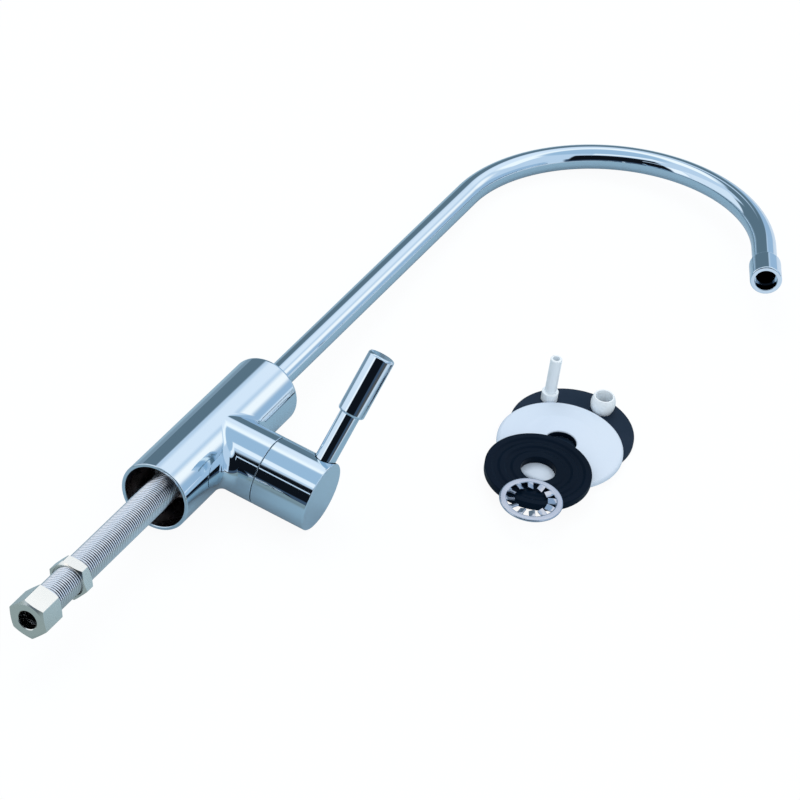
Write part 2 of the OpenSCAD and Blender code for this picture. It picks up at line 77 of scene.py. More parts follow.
COMP_NUT_Z, COMP_NUT_L, COMP_NUT_TURN, COMP_NUT_FLOOR = -82.5, 11.2, 8.7, 3.4
COMP_NUT_CROWN, COMP_NUT_SLOPE, COMP_NUT_BEVEL, COMP_NUT_ROUND = 0.90, 0.40, 0.5, 0.2
TUBE_HOLE_R, TUBE_HOLE_BEVEL = 3.6, 0.25
HUB_START, HUB_END, HUB_EDGE, HUB_FOOT_ROUND = 23.7, 45.2, 0.5, 0.25
HUB_RECESS_R, HUB_RECESS_T, HUB_CORE_R, HUB_CORE_END = 11.9, 1.2, 8.0, 30.7
SPINDLE_HOLE_R, SPINDLE_HOLE_END = 3.55, 42.5
LEVER_X, LEVER_ANGLE, LEVER_TILT = 39.6, 59.6, 5.0
ROD_R, ROD_SEAT, ROD_ROUND, SPOT_R = 3.75, 11.6, 0.25, 4.25
ROD_TIP_R, ROD_TIP_START, ROD_TIP_END, ROD_HOLE_END = 2.5, 3.85, 44.5, 2.85
GRIP_R, GRIP_START, GRIP_END, GRIP_ROUND, GRIP_SOCKET = 5.0, 31.4, 54.9, 0.9, 45.5
TUBE_R, TUBE_BORE_R, TUBE_FOOT, RISER_JOIN, RISER_TOP = 4.75, 3.85, 70.0, 194.5, 234.5
ARCH_R, ARCH_SWEEP, OUTLET_L, SPOUT_TURN = 59.9, 153.5, 23.2, 9.6
COLLAR_R, COLLAR_L, COLLAR_BORE_R, COLLAR_LAND = 6.05, 12.0, 4.275, 4.0
COLLAR_SHOULDER, COLLAR_LIP, COLLAR_MOUTH = 1.6, 0.55, 0.25

# The loose kit: the white washer's place on the table, and how far the other pieces lie from it
KIT_X, KIT_Y = 96.4, 127.6
RUBBER_OFF, RIBBED_OFF, TOOTH_OFF = (-1, 11.7), (1.6, -21.6), (7.6, -39)
FERRULE_BEARING, INSERT_BEARING, BESIDE_WHITE = 84, 126, 0.4
RUBBER_R, RUBBER_T, RUBBER_FOOT, RUBBER_EDGE = 23.0, 1.8, 0.25, 0.35
WASHER_HOLE_R = 5.8
WHITE_R, WHITE_T, WHITE_CROWN, WHITE_SLOPE = 23.25, 2.8, 0.7, 9.0
WHITE_FOOT, WHITE_SHOULDER, WHITE_BULGE, WHITE_LIP = 0.2, 1.5, 8.0, 0.5
RIBBED_R, RIBBED_T, RIBBED_HOLE_R, RIBBED_EDGE = 19.5, 3.0, 6.4, 0.4
GROOVE, RIB_SLOPE, RIB_ROUND = 0.5, 0.4, 0.5
GROOVE_EDGES = ((0.86, 0.74), (0.62, 0.5))
TOOTH_RING_R, TOOTH_RING_T, TOOTH_ROOT_R, TOOTH_TIP_R, TEETH = 11.5, 0.9, 8.97, 5.98, 12
RING_ROOT_FOOT, RING_FOOT, RING_EDGE, RING_ROOT_EDGE = 0.15, 0.2, 0.6, 0.5
TOOTH_W, TOOTH_THIN, TOOTH_ROUND, TOOTH_ROOTED = 2.2544, 0.648, 0.12, 0.5
TOOTH_TWIST, TOOTH_BEND_START, TOOTH_BEND = 24.0, 0.4, 1.6
FERRULE_R, FERRULE_H, FERRULE_BORE_R, FERRULE_END = 4.6, 6.8, 3.2, 0.8
FERRULE_LIP, FERRULE_INSET, FERRULE_EDGE, FERRULE_MOUTH = 0.35, 0.12, 0.25, 0.2
INSERT_R, INSERT_L, INSERT_COLLAR_R, INSERT_COLLAR_H, INSERT_BORE_R = 2.15, 19.5, 3.1, 4.0, 1.3
INSERT_FOOT, INSERT_SHOULDER, INSERT_NECK, INSERT_TIP = 0.1, 0.4, 0.15, 0.45


# Places

def turn(axis, degrees):
    """A turn about an axis through the origin."""
    return np.array(Matrix.Rotation(math.radians(degrees), 4, axis))


def shift(x, y, z):
    """A move in millimetres."""
    return np.array(Matrix.Translation((x, y, z)))


def lying_frame():
    """The tap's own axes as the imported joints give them, in millimetres."""
    axes = {joint["name"]: np.array(joint["axis"], float) for joint in frame["joints"]}
    up, out = axes["spout_swivel"], axes["lever_turn"]
    place = np.eye(4)
    place[:3, 2] = up / np.linalg.norm(up)
    place[:3, 0] = out / np.linalg.norm(out)
    place[:3, 1] = np.cross(place[:3, 2], place[:3, 0])
    return place


FLOOR_Z = cad_low.z / MM
TAP = lying_frame()
BRANCH = TAP @ shift(0, 0, BRANCH_Z) @ turn("Y", 90)
LEVER = TAP @ shift(LEVER_X, 0, BRANCH_Z) @ turn("X", LEVER_ANGLE) @ turn("Y", LEVER_TILT)
SPOUT = TAP @ turn("Z", -SPOUT_TURN)
OUTLET = SPOUT @ shift(ARCH_R, 0, RISER_TOP) @ turn("Y", ARCH_SWEEP) @ shift(-ARCH_R, 0, 0)


# Mesh making

# Points weld on a grid of a thousandth of a millimetre. The offset keeps round sizes off its edges.
WELD_STEPS, WELD_OFFSET = 1000, 0.3712
TINY = 1e-6


class Shell:
    """Gathers surface patches that carry their exact normals, and welds them into one mesh."""

    def __init__(self):
        self.points, self.normals, self.quads = [], [], []
        self.count = 0

    def grid(self, points, normals, place=None):
        """Adds rows of points with their normals, set in a place where one is given."""
        points, normals = np.asarray(points, float), np.asarray(normals, float)
        rows, cols = points.shape[:2]
        if place is not None:
            points = points @ place[:3, :3].T + place[:3, 3]
            normals = normals @ place[:3, :3].T
        index = np.arange(rows * cols).reshape(rows, cols) + self.count
        quads = np.stack([index[:-1, :-1], index[1:, :-1], index[1:, 1:], index[:-1, 1:]], -1)
        self.points.append(points.reshape(-1, 3))
        self.normals.append(normals.reshape(-1, 3))
        self.quads.append(quads.reshape(-1, 4))
        self.count += rows * cols

    def mesh(self, exact=True):
        """The welded mesh, which keeps the patches' own normals if exact."""
        points, normals = np.concatenate(self.points), np.concatenate(self.normals)
        quads = np.concatenate(self.quads)
        corner = points[quads]
        facing = np.cross(corner[:, 2] - corner[:, 0], corner[:, 3] - corner[:, 1])
        wrong = (facing * normals[quads].sum(1)).sum(1) < 0
        quads[wrong] = quads[wrong][:, ::-1]
        keys = np.floor(points * WELD_STEPS + WELD_OFFSET).astype(np.int64)
        _, first, weld = np.unique(keys, axis=0, return_index=True, return_inverse=True)
        weld = weld.reshape(-1)
        faces, split = [], []
        for quad in quads:
            face, corners = [], []
            for c in quad:
                v = int(weld[c])
                if v not in face:
                    face.append(v)
                    corners.append(normals[c])
            if len(face) > 2:
                faces.append(face)
                split.extend(corners)
        mesh = bpy.data.meshes.new("shell")
        mesh.from_pydata((points[first] * MM).tolist(), [], faces, shade_flat=False)
        if not exact:
            return mesh
        split = np.array(split)
        split /= np.maximum(np.linalg.norm(split, axis=1), TINY)[:, None]
        mesh.normals_split_custom_set(split.tolist())
        return mesh


def outline(corners, closed=True, left=False, arc=6, step=None):
    """Straight and rounded stretches of a section. A corner is (r, z) or (r, z, rounding)."""
    pts = [np.array(c[:2], float) for c in corners]
    rounds = [c[2] if len(c) > 2 else 0.0 for c in corners]
    n = len(pts)
    if closed:
        pairs = zip(pts, pts[1:] + pts[:1])
        area = sum(p[0] * q[1] - q[0] * p[1] for p, q in pairs)
        left = area < 0

    def normal(d):
        return np.array([-d[1], d[0]]) if left else np.array([d[1], -d[0]])

    starts, ends, arcs = [p.copy() for p in pts], [p.copy() for p in pts], [None] * n
    for i in range(n):
        if rounds[i] <= 0 or (not closed and i in (0, n - 1)):
            continue
        a, b = pts[i - 1] - pts[i], pts[(i + 1) % n] - pts[i]
        a, b = a / np.linalg.norm(a), b / np.linalg.norm(b)
        half = math.acos(max(-1, min(1, float(a @ b)))) / 2
        back = rounds[i] / math.tan(half)
        starts[i], ends[i] = pts[i] + a * back, pts[i] + b * back
        n0, n1 = normal(-a), normal(b)
        convex = float(n0 @ b) < 0
        centre = starts[i] - n0 * rounds[i] * (1 if convex else -1)
        sweep = math.acos(max(-1, min(1, float(n0 @ n1))))
        stretch = []
        for k in range(arc + 1):
            share = k / arc
            d = (math.sin((1 - share) * sweep) * n0 + math.sin(share * sweep) * n1) / math.sin(sweep)
            stretch.append((*(centre + d * rounds[i] * (1 if convex else -1)), *d))
        arcs[i] = stretch
    stretches = []
    for i in range(n if closed else n - 1):
        p, q = ends[i], starts[(i + 1) % n]
        d = q - p
        length = np.linalg.norm(d)
        if length > TINY:
            parts = max(1, int(math.ceil(length / step))) if step else 1
            m = normal(d / length)
            stretches.append([(*(p + d * k / parts), *m) for k in range(parts + 1)])
        following = arcs[(i + 1) % n]
        if following:
            stretches.append(following)
    return stretches


def revolve(shell, stretches, place, angles):
    """Turns the stretches of a section about Z, through the given angles."""
    c, s = np.cos(angles)[None, :], np.sin(angles)[None, :]
    flat = np.ones_like(c)
    for stretch in stretches:
        r, z, nr, nz = (np.array(v)[:, None] for v in zip(*stretch))
        points = np.stack([r * c, r * s, z * flat], -1)
        normals = np.stack([nr * c, nr * s, nz * flat], -1)
        shell.grid(points, normals, place)


def around(count):
    """The angles of a full turn in that many steps."""
    return np.linspace(0, 2 * math.pi, count + 1)


def turned(corners, place, count, arc=6, step=None):
    """A turned piece whose section is a closed outline."""
    shell = Shell()
    revolve(shell, outline(corners, arc=arc, step=step), place, around(count))
    return shell.mesh()


def add_object(name, data):
    """A new object, linked to the scene."""
    made = bpy.data.objects.new(name, data)
    bpy.context.scene.collection.objects.link(made)
    return made


def show(name, mesh, body, slot, material, *nodes):
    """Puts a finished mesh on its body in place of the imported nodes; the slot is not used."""
    piece = add_object(name, mesh)
    mesh.name = name
    mesh.materials.clear()
    mesh.materials.append(material)
    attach(piece, body)
    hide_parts(*nodes)
    return piece


# Materials

def add_node(tree, kind, inputs, **settings):
    """A new node with its settings, each input given a value or a link."""
    made = tree.nodes.new(kind)
    for label, value in settings.items():
        setattr(made, label, value)
    for label, value in inputs.items():
        if isinstance(value, bpy.types.NodeSocket):
            tree.links.new(value, made.inputs[label])
        else:
            made.inputs[label].default_value = value
    return made


def value_group(name, build, inputs):
    """A shader group that works out one value from its named inputs."""
    group = bpy.data.node_groups.new(name, "ShaderNodeTree")
    for label in inputs:
        group.interface.new_socket(label, in_out="INPUT", socket_type="NodeSocketFloat")
    group.interface.new_socket("Value", in_out="OUTPUT", socket_type="NodeSocketFloat")
    inside, outside = group.nodes.new("NodeGroupInput"), group.nodes.new("NodeGroupOutput")
    group.links.new(build(group, inside), outside.inputs["Value"])
    return group


def own_space(tree):
    """The point that is shaded, in its object's own space."""
    return tree.nodes.new("ShaderNodeTexCoord").outputs["Object"]


def noise(group, inside, detail):
    """Noise in an object's own space, at the group's scale."""
    return add_node(group, "ShaderNodeTexNoise", {
        "Vector": own_space(group), "Scale": inside.outputs["Scale"], "Detail": detail,
    }).outputs["Fac"]


def handling_marks(group, inside):
    """Soft cloudy marks left by handling and polishing."""
    return add_node(group, "ShaderNodeMapRange", {
        "Value": noise(group, inside, 3), "From Min": 0.35, "From Max": 0.7,
        "To Min": inside.outputs["Low"], "To Max": inside.outputs["High"],
    }).outputs["Result"]


def fine_grain(group, inside):
    """A fine moulded or plated grain for bumps."""
    return noise(group, inside, 4)


MARKS = value_group("handling_marks", handling_marks, ("Scale", "Low", "High"))
GRAIN = value_group("fine_grain", fine_grain, ("Scale",))


def mix_colours(tree, share, a, b):
    """A mix of two colours, each a plain colour or a socket."""
    node = tree.nodes.new("ShaderNodeMix")
    node.data_type = "RGBA"
    sockets = {socket.identifier: socket for socket in node.inputs}
    tree.links.new(share, sockets["Factor_Float"])
    for value, socket in ((a, sockets["A_Color"]), (b, sockets["B_Color"])):
        if isinstance(value, tuple):
            socket.default_value = (*value, 1)
        else:
            tree.links.new(value, socket)
    return next(socket for socket in node.outputs if socket.identifier == "Result_Color")


def soft_step(tree, value, start, stop):
    """A soft step from 0 at start to 1 at stop."""
    rising = start < stop
    step = add_node(tree, "ShaderNodeMapRange", {
        "Value": value, "From Min": min(start, stop), "From Max": max(start, stop),
        "To Min": 0 if rising else 1, "To Max": 1 if rising else 0,
    }, interpolation_type="SMOOTHSTEP")
    return step.outputs["Result"]


# The colour drifts in larger clouds than the gloss
DRIFT_SCALE = 0.6


def finish(name, colour, shade, metallic, rough, marks, bump=0, grain=0, **sockets):
    """A finish that drifts between two colours, with cloudy gloss and, where asked, a fine grain."""
    material = bpy.data.materials.new(name)
    material.use_nodes = True
    tree = material.node_tree
    shader = tree.nodes["Principled BSDF"]
    shader.inputs["Metallic"].default_value = metallic
    for label, value in sockets.items():
        shader.inputs[label.replace("_", " ")].default_value = value

    def clouds(scale, low, high):
        made = add_node(tree, "ShaderNodeGroup", {"Scale": scale, "Low": low, "High": high}, node_tree=MARKS)
        return made.outputs["Value"]

    tree.links.new(clouds(marks, *rough), shader.inputs["Roughness"])
    tone = mix_colours(tree, clouds(marks * DRIFT_SCALE, 0.0, 1.0), colour, shade)
    tree.links.new(tone, shader.inputs["Base Color"])
    if bump:
        fine = add_node(tree, "ShaderNodeGroup", {"Scale": grain}, node_tree=GRAIN)
        raised = add_node(tree, "ShaderNodeBump", {
            "Strength": 1.0, "Distance": bump, "Height": fine.outputs["Value"],
        })
        tree.links.new(raised.outputs["Normal"], shader.inputs["Normal"])
    return material


def paint_root_shade(material, crest_r, root_r, tone):
    """Painted shade on a thread: its colour darkens from the crests toward the roots, where shade falls in
    the grooves.
    """
    tree = material.node_tree
    arm = add_node(tree, "ShaderNodeVectorMath", {
        0: own_space(tree), 1: TAP[:3, 2],
    }, operation="CROSS_PRODUCT")
    reach = add_node(tree, "ShaderNodeVectorMath", {0: arm.outputs["Vector"]}, operation="LENGTH")
    depth = soft_step(tree, reach.outputs["Value"], crest_r * MM, root_r * MM)
    base = tree.nodes["Principled BSDF"].inputs["Base Color"]
    tree.links.new(mix_colours(tree, depth, base.links[0].from_socket, tone), base)


CHROME = finish("polished_chrome", (0.67, 0.78, 0.86), (0.65, 0.77, 0.86), 1, (0.025, 0.05), marks=45)
NICKEL = finish("plated_nickel", (0.95, 0.93, 0.86), (0.90, 0.89, 0.83), 1, (0.18, 0.26), marks=90,
                bump=2e-6, grain=1800)
THREAD = finish("rolled_nickel_thread", (0.97, 0.98, 1.0), (0.92, 0.93, 0.96), 1, (0.18, 0.25), marks=110)
# Painted shade: the thread's colour darkens toward its roots.
paint_root_shade(THREAD, SHANK_R - THREAD_CREST, SHANK_R - THREAD_DEPTH, (0.56, 0.57, 0.62))
RAW = finish("raw_casting", (0.42, 0.39, 0.38), (0.30, 0.275, 0.27), 1, (0.24, 0.32), marks=160,
             bump=1.5e-6, grain=1200)
STEEL = finish("zinc_steel", (0.44, 0.49, 0.60), (0.56, 0.60, 0.68), 1, (0.17, 0.28), marks=120,
               bump=4e-6, grain=900)
BRASS = finish("machined_brass", (0.78, 0.60, 0.30), (0.72, 0.52, 0.26), 1, (0.18, 0.28), marks=120)
RUBBER = finish("moulded_rubber", (0.009, 0.022, 0.044), (0.014, 0.028, 0.052), 0, (0.40, 0.55), marks=70,
                bump=6e-6, grain=2200, Specular_IOR_Level=0.10)
RIBBED_RUBBER = finish("ribbed_rubber", (0.001, 0.006, 0.015), (0.002, 0.008, 0.020), 0, (0.34, 0.46),
                       marks=70, bump=6e-6, grain=2200, Specular_IOR_Level=0.05)
CERAMIC = finish("lapped_ceramic", (0.86, 0.85, 0.80), (0.82, 0.81, 0.77), 0, (0.2, 0.3), marks=150)
WHITE = finish("glossy_white_plastic", (0.62, 0.74, 0.89), (0.65, 0.76, 0.89), 0, (0.16, 0.24), marks=50,
               bump=2e-6, grain=900)
NATURAL = finish("natural_plastic", (0.86, 0.94, 1.0), (0.82, 0.92, 1.0), 0, (0.28, 0.4), marks=140,
                 bump=4e-6, grain=1500,
                 Subsurface_Weight=0.2, Subsurface_Radius=(0.004, 0.004, 0.004), Subsurface_Scale=0.6)


# Body

# The part of the casting's wall that faces the branch, and how finely the casting is meshed
FIELD_HALF_ANGLE, FIELD_HALF_HEIGHT = math.radians(112), 27.2
TOP_STEPS, SIDE_STEPS, BACK_STEPS = 72, 44, 44
FIELD_ROWS, BLEND_ROWS, BRANCH_ROWS = 17, 19, 9


def body_mesh():
    """The body casting: a tube with a side branch, joined by the blend that a rolling ball leaves."""
    shell = Shell()
    wide, tall = FIELD_HALF_ANGLE, FIELD_HALF_HEIGHT
    u = np.linspace(-1, 1, TOP_STEPS + 1)
    v = np.linspace(1, -1, SIDE_STEPS + 1)
    ones_u, ones_v = np.ones_like(u), np.ones_like(v)
    rim = np.concatenate([
        np.stack([u, ones_u], -1)[:-1], np.stack([ones_v, v], -1)[:-1],
        np.stack([-u, -ones_u], -1)[:-1], np.stack([-ones_v, -v], -1),
    ])
    t = np.arctan2(rim[:, 0], rim[:, 1])
    far = BRANCH_R + BLEND_R
    ball_y = far * np.sin(t)
    ball_x = np.sqrt((BODY_R + BLEND_R) ** 2 - ball_y ** 2)
    ball = np.stack([ball_x, ball_y, BRANCH_Z + far * np.cos(t)], -1)

    def on_tube(angle, z):
        n = np.stack([np.cos(angle), np.sin(angle), np.zeros_like(angle)], -1)
        p = n * BODY_R
        p[..., 2] = z
        return p, n

    # The wall round the branch
    inner = np.stack([np.arctan2(ball_y, ball_x), ball[:, 2]], -1)
    outer = np.stack([rim[:, 0] * wide, BRANCH_Z + rim[:, 1] * tall], -1)
    share = np.linspace(0, 1, FIELD_ROWS)[:, None, None]
    field = inner[None] * (1 - share) + outer[None] * share
    shell.grid(*on_tube(field[..., 0], field[..., 1]), TAP)

    # The blend
    to_branch = np.stack([np.zeros_like(t), -np.sin(t), -np.cos(t)], -1)
    to_body = np.stack([-ball_x, -ball_y, np.zeros_like(t)], -1) / (BODY_R + BLEND_R)
    opening = np.arccos((to_branch * to_body).sum(-1))[None, :, None]
    share = np.linspace(0, 1, BLEND_ROWS)[:, None, None]
    arm = (np.sin(opening * (1 - share)) * to_branch + np.sin(opening * share) * to_body) / np.sin(opening)
    shell.grid(ball[None] + BLEND_R * arm, -arm, TAP)

    # The branch and its chamber
    share = np.linspace(0, 1, BRANCH_ROWS)[:, None]
    radial = np.stack([np.zeros_like(t), np.sin(t), np.cos(t)], -1)[None].repeat(BRANCH_ROWS, 0)
    branch = radial * BRANCH_R + np.array([0, 0, BRANCH_Z])
    branch[..., 0] = ball_x[None] * (1 - share) + (BRANCH_END - BRANCH_ROUND) * share
    shell.grid(branch, radial, TAP)
    end = outline([
        (BRANCH_R, BRANCH_END - BRANCH_ROUND), (BRANCH_R, BRANCH_END, BRANCH_ROUND - HAIR),
        (CHAMBER_R, BRANCH_END, EASED), (CHAMBER_R, CHAMBER_FLOOR), (0, CHAMBER_FLOOR),
    ], closed=False)
    revolve(shell, end, BRANCH, math.pi - t)

    # The rest of the wall, the top and the hollow foot
    back = np.linspace(wide, 2 * math.pi - wide, BACK_STEPS + 1)
    shell.grid(*on_tube(*np.meshgrid(back, BRANCH_Z + v * tall)), TAP)
    ring = np.concatenate([u * wide, back[1:]])
    top = outline([
        (BODY_R, BRANCH_Z + tall), (BODY_R, BODY_L, TOP_ROUND), (SOCKET_R, BODY_L, EASED),
        (SOCKET_R, SOCKET_FLOOR), (0, SOCKET_FLOOR),
    ], closed=False, arc=14)
    foot = outline([
        (BODY_R, BRANCH_Z - tall), (BODY_R, 0, RIM_ROUND), (SKIRT_R, 0, RIM_ROUND),
        (SKIRT_R, SKIRT_DEPTH, SKIRT_ROUND), (BOSS_R, SKIRT_DEPTH, BOSS_ROOT), (BOSS_R, BOSS_FACE, BOSS_EDGE),
        (SHANK_HOLE_R, BOSS_FACE, EASED), (SHANK_HOLE_R, SHANK_HOLE_END), (0, SHANK_HOLE_END),
    ], closed=False, left=True, arc=8)
    revolve(shell, top, TAP, ring)
    revolve(shell, foot, TAP, ring)
    return shell.mesh()


def line_hole(piece, material, place, radius, low, high):
    """Gives the faces within that radius of an axis, between two heights on it, a material of their own, a
    real finish or painted shade.
    """
    piece.data.materials.append(material)
    back = np.linalg.inv(place)
    for face in piece.data.polygons:
        x, y, z = (back @ np.array([*face.center, MM]))[:3] / MM
        face.material_index = int(math.hypot(x, y) < radius + NEAR and low < z < high)


casting = show("body_casting", body_mesh(), "tap_body", "chrome", CHROME, "body")
line_hole(casting, RAW, TAP, SKIRT_R, RIM_ROUND, SHANK_HOLE_END + 1)


# Shank and nuts

def node_tree(name, inputs):
    """An empty geometry tree that takes a shape, its named inputs and a material."""
    tree = bpy.data.node_groups.new(name, "GeometryNodeTree")
    for label, kind in {"Geometry": "Geometry", **inputs, "Material": "Material"}.items():
        tree.interface.new_socket(label, in_out="INPUT", socket_type="NodeSocket" + kind)
    tree.interface.new_socket("Geometry", in_out="OUTPUT", socket_type="NodeSocketGeometry")
    return tree, tree.nodes.new("NodeGroupInput"), tree.nodes.new("NodeGroupOutput")


def math_node(tree, operation, *values):
    """The result of a math node whose inputs are numbers or sockets."""
    return add_node(tree, "ShaderNodeMath", dict(enumerate(values)), operation=operation).outputs[0]


def run_tree(tree, mesh, material, values):
    """Runs a node tree on a mesh and gives back the plain result."""
    carrier = add_object("carrier", mesh)
    modifier = carrier.modifiers.new("tree", "NODES")
    modifier.node_group = tree
    ids = {item.name: item.identifier for item in tree.interface.items_tree if item.in_out == "INPUT"}
    for label, value in {**values, "Material": material}.items():
        modifier[ids[label]] = value
    made = bpy.data.meshes.new_from_object(carrier.evaluated_get(bpy.context.evaluated_depsgraph_get()))
    carrier.modifiers.remove(modifier)
    bpy.data.objects.remove(carrier)
    return made


WELD_GAP = 2e-6


def close_tree(tree, shape, given, out):
    """Ends a tree: its copies made real, its points welded and its material set."""
    whole = add_node(tree, "GeometryNodeRealizeInstances", {0: shape})
    merge = add_node(tree, "GeometryNodeMergeByDistance", {
        "Geometry": whole.outputs[0], "Distance": WELD_GAP,
    })
    paint = add_node(tree, "GeometryNodeSetMaterial", {
        "Geometry": merge.outputs[0], "Material": given.outputs["Material"],
    })
    tree.links.new(paint.outputs[0], out.inputs["Geometry"])
    return tree


ROWS_A_TURN, SHANK_STEPS, THREAD_EDGE = 10, 48, 40


def thread_tree():
    """A rolled thread wound up a round bar, with round crests: each row of the grid follows the helix."""
    tree, given, out = node_tree("thread", {
        "Radius": "Float", "Depth": "Float", "Pitch": "Float", "Bottom": "Float", "Top": "Float",
        "Turns": "Int", "Steps Round": "Int",
    })
    g = given.outputs

    def calc(*terms):
        return math_node(tree, *terms)

    rows = calc("MULTIPLY", g["Turns"], ROWS_A_TURN)
    grid = add_node(tree, "GeometryNodeMeshGrid", {
        "Size X": 1, "Size Y": 1,
        "Vertices X": calc("ADD", g["Steps Round"], 1), "Vertices Y": calc("ADD", rows, 1),
    })
    here = tree.nodes.new("GeometryNodeInputPosition")
    split = add_node(tree, "ShaderNodeSeparateXYZ", {0: here.outputs[0]})
    share = calc("ADD", split.outputs["X"], 0.5)
    climbed = calc("ADD", split.outputs["Y"], 0.5)
    row = calc("ROUND", calc("MULTIPLY", climbed, rows))
    wound = calc("DIVIDE", row, ROWS_A_TURN)
    turns = calc("ADD", calc("ADD", wound, share), -1.0)
    height = calc("ADD", g["Bottom"], calc("MULTIPLY", turns, g["Pitch"]))
    level = calc("MINIMUM", calc("MAXIMUM", height, g["Bottom"]), g["Top"])
    inside = calc("COMPARE", height, level, TINY)
    climb = calc("PINGPONG", calc("MULTIPLY", wound, 2.0), 1.0)
    ridge = calc("SINE", calc("MULTIPLY", climb, math.pi / 2))
    cut = calc("SUBTRACT", 1.0, calc("MULTIPLY", ridge, inside))
    radius = calc("SUBTRACT", g["Radius"], calc("MULTIPLY", cut, g["Depth"]))
    angle = calc("MULTIPLY", share, 2 * math.pi)
    point = add_node(tree, "ShaderNodeCombineXYZ", {
        "X": calc("MULTIPLY", radius, calc("COSINE", angle)),
        "Y": calc("MULTIPLY", radius, calc("SINE", angle)), "Z": level,
    })
    wind = add_node(tree, "GeometryNodeSetPosition", {
        "Geometry": grid.outputs["Mesh"], "Position": point.outputs[0],
    })
    both = tree.nodes.new("GeometryNodeJoinGeometry")
    tree.links.new(g["Geometry"], both.inputs[0])
    tree.links.new(wind.outputs["Geometry"], both.inputs[0])
    return close_tree(tree, both.outputs[0], given, out)


def sharpen(mesh, degrees):
    """Smooth shading that breaks at edges steeper than this."""
    mesh.shade_smooth()
    mesh.set_sharp_from_angle(angle=math.radians(degrees))


def shank_mesh():
    """The shank's ends and bore, with the thread wound between the ends."""
    root = SHANK_R - THREAD_DEPTH
    nose = root - THREAD_RUN_OUT
    bottom, top = SHANK_END + THREAD_RUN_OUT, SHANK_TOP - THREAD_RUN_OUT
    ends = Shell()
    revolve(ends, outline([
        (root, bottom), (nose, SHANK_END), (SHANK_BORE_R, SHANK_END), (SHANK_BORE_R, SHANK_TOP),
        (nose, SHANK_TOP), (root, top),
    ], closed=False, left=True), None, around(SHANK_STEPS))
    made = run_tree(thread_tree(), ends.mesh(exact=False), THREAD, {
        "Radius": SHANK_R * MM, "Depth": THREAD_DEPTH * MM, "Pitch": THREAD_PITCH * MM,
        "Bottom": bottom * MM, "Top": top * MM, "Turns": int((top - bottom) / THREAD_PITCH) + 2,
        "Steps Round": SHANK_STEPS,
    })
    made.transform(Matrix(TAP.tolist()))
    sharpen(made, THREAD_EDGE)
    return made


show("threaded_shank", shank_mesh(), "tap_body", "nickel", THREAD, "shank")


HALF_FLAT_STEPS = 10


def hex_ring():
    """Points round a nut's hexagon with its normals, corners softly rounded."""
    reach = NUT_FLATS / math.sqrt(3)
    bearings = [math.radians(60 * i) for i in range(6)]
    corners = [(reach * math.cos(a), reach * math.sin(a), NUT_CORNER_ROUND) for a in bearings]
    ring = []
    for stretch in outline(corners, arc=5, step=NUT_FLATS / 2 / HALF_FLAT_STEPS):
        ring.extend(stretch)
    ring.append(ring[0])
    return np.array(ring)


def hex_nut(height, crown, slope, bore, base, spin):
    """A nut on the shank, its corners turned down at both ends. bore lists its inside, top first."""
    shell = Shell()
    place = TAP @ shift(0, 0, base) @ turn("Z", spin)
    ring, crown_r = hex_ring(), NUT_FLATS / 2 * crown
    xy, nxy = ring[:, :2], ring[:, 2:]
    r = np.linalg.norm(xy, axis=1)
    unit = xy / r[:, None]
    drop = np.maximum(r - crown_r, 0) * slope
    zero = np.zeros(len(ring))
    normal = np.stack([nxy[:, 0], nxy[:, 1], zero], -1)
    low, high = np.column_stack([xy, drop]), np.column_stack([xy, height - drop])
    shell.grid(np.stack([low, high]), np.stack([normal, normal]), place)
    for z, edge, sign in ((0, low, -1), (height, high, 1)):
        tilt = np.column_stack([unit * slope, zero + sign])
        tilt /= np.linalg.norm(tilt, axis=1)[:, None]
        brink = np.column_stack([unit * crown_r, zero + z])
        shell.grid(np.stack([brink, edge]), np.stack([tilt, tilt]), place)
        face = np.column_stack([zero, zero, zero + sign])
        mouth = bore[-1][0] if sign < 0 else bore[0][0]
        inner = np.column_stack([unit * mouth, zero + z])
        shell.grid(np.stack([inner, brink]), np.stack([face, face]), place)
    angles = np.unwrap(np.arctan2(xy[:, 1], xy[:, 0]))
    revolve(shell, outline(bore, closed=False, arc=4), place, angles)
    return shell.mesh()


def nuts():
    """Both nuts on the shank, with bevelled holes."""
    hole = SHANK_R + FIT
    mouth = hole + LOCK_NUT_BEVEL
    lock = hex_nut(LOCK_NUT_T, LOCK_NUT_CROWN, LOCK_NUT_SLOPE, [
        (mouth, LOCK_NUT_T), (hole, LOCK_NUT_T - LOCK_NUT_BEVEL), (hole, LOCK_NUT_BEVEL), (mouth, 0),
    ], LOCK_NUT_Z, LOCK_NUT_TURN)
    show("hex_lock_nut", lock, "lock_nut", "nickel", NICKEL, "lock_nut")
    comp = hex_nut(COMP_NUT_L, COMP_NUT_CROWN, COMP_NUT_SLOPE, [
        (hole + COMP_NUT_BEVEL, COMP_NUT_L), (hole, COMP_NUT_L - COMP_NUT_BEVEL),
        (hole, COMP_NUT_FLOOR, COMP_NUT_ROUND), (TUBE_HOLE_R, COMP_NUT_FLOOR, COMP_NUT_ROUND),
        (TUBE_HOLE_R, TUBE_HOLE_BEVEL), (TUBE_HOLE_R + TUBE_HOLE_BEVEL, 0),
    ], COMP_NUT_Z, COMP_NUT_TURN)
    show("hex_compression_nut", comp, "compression_nut", "nickel", NICKEL, "compression_nut")


nuts()


# Handle

# How far a face may miss a surface and still take its normals, what a wrong facing counts for,
# how far past its quarter turn a rim still counts, and the miss of what lies beyond
FIT_LIMIT, TURN_WEIGHT, EDGE_SLACK, MISS = 0.25, 2.0, 0.05, 1.0


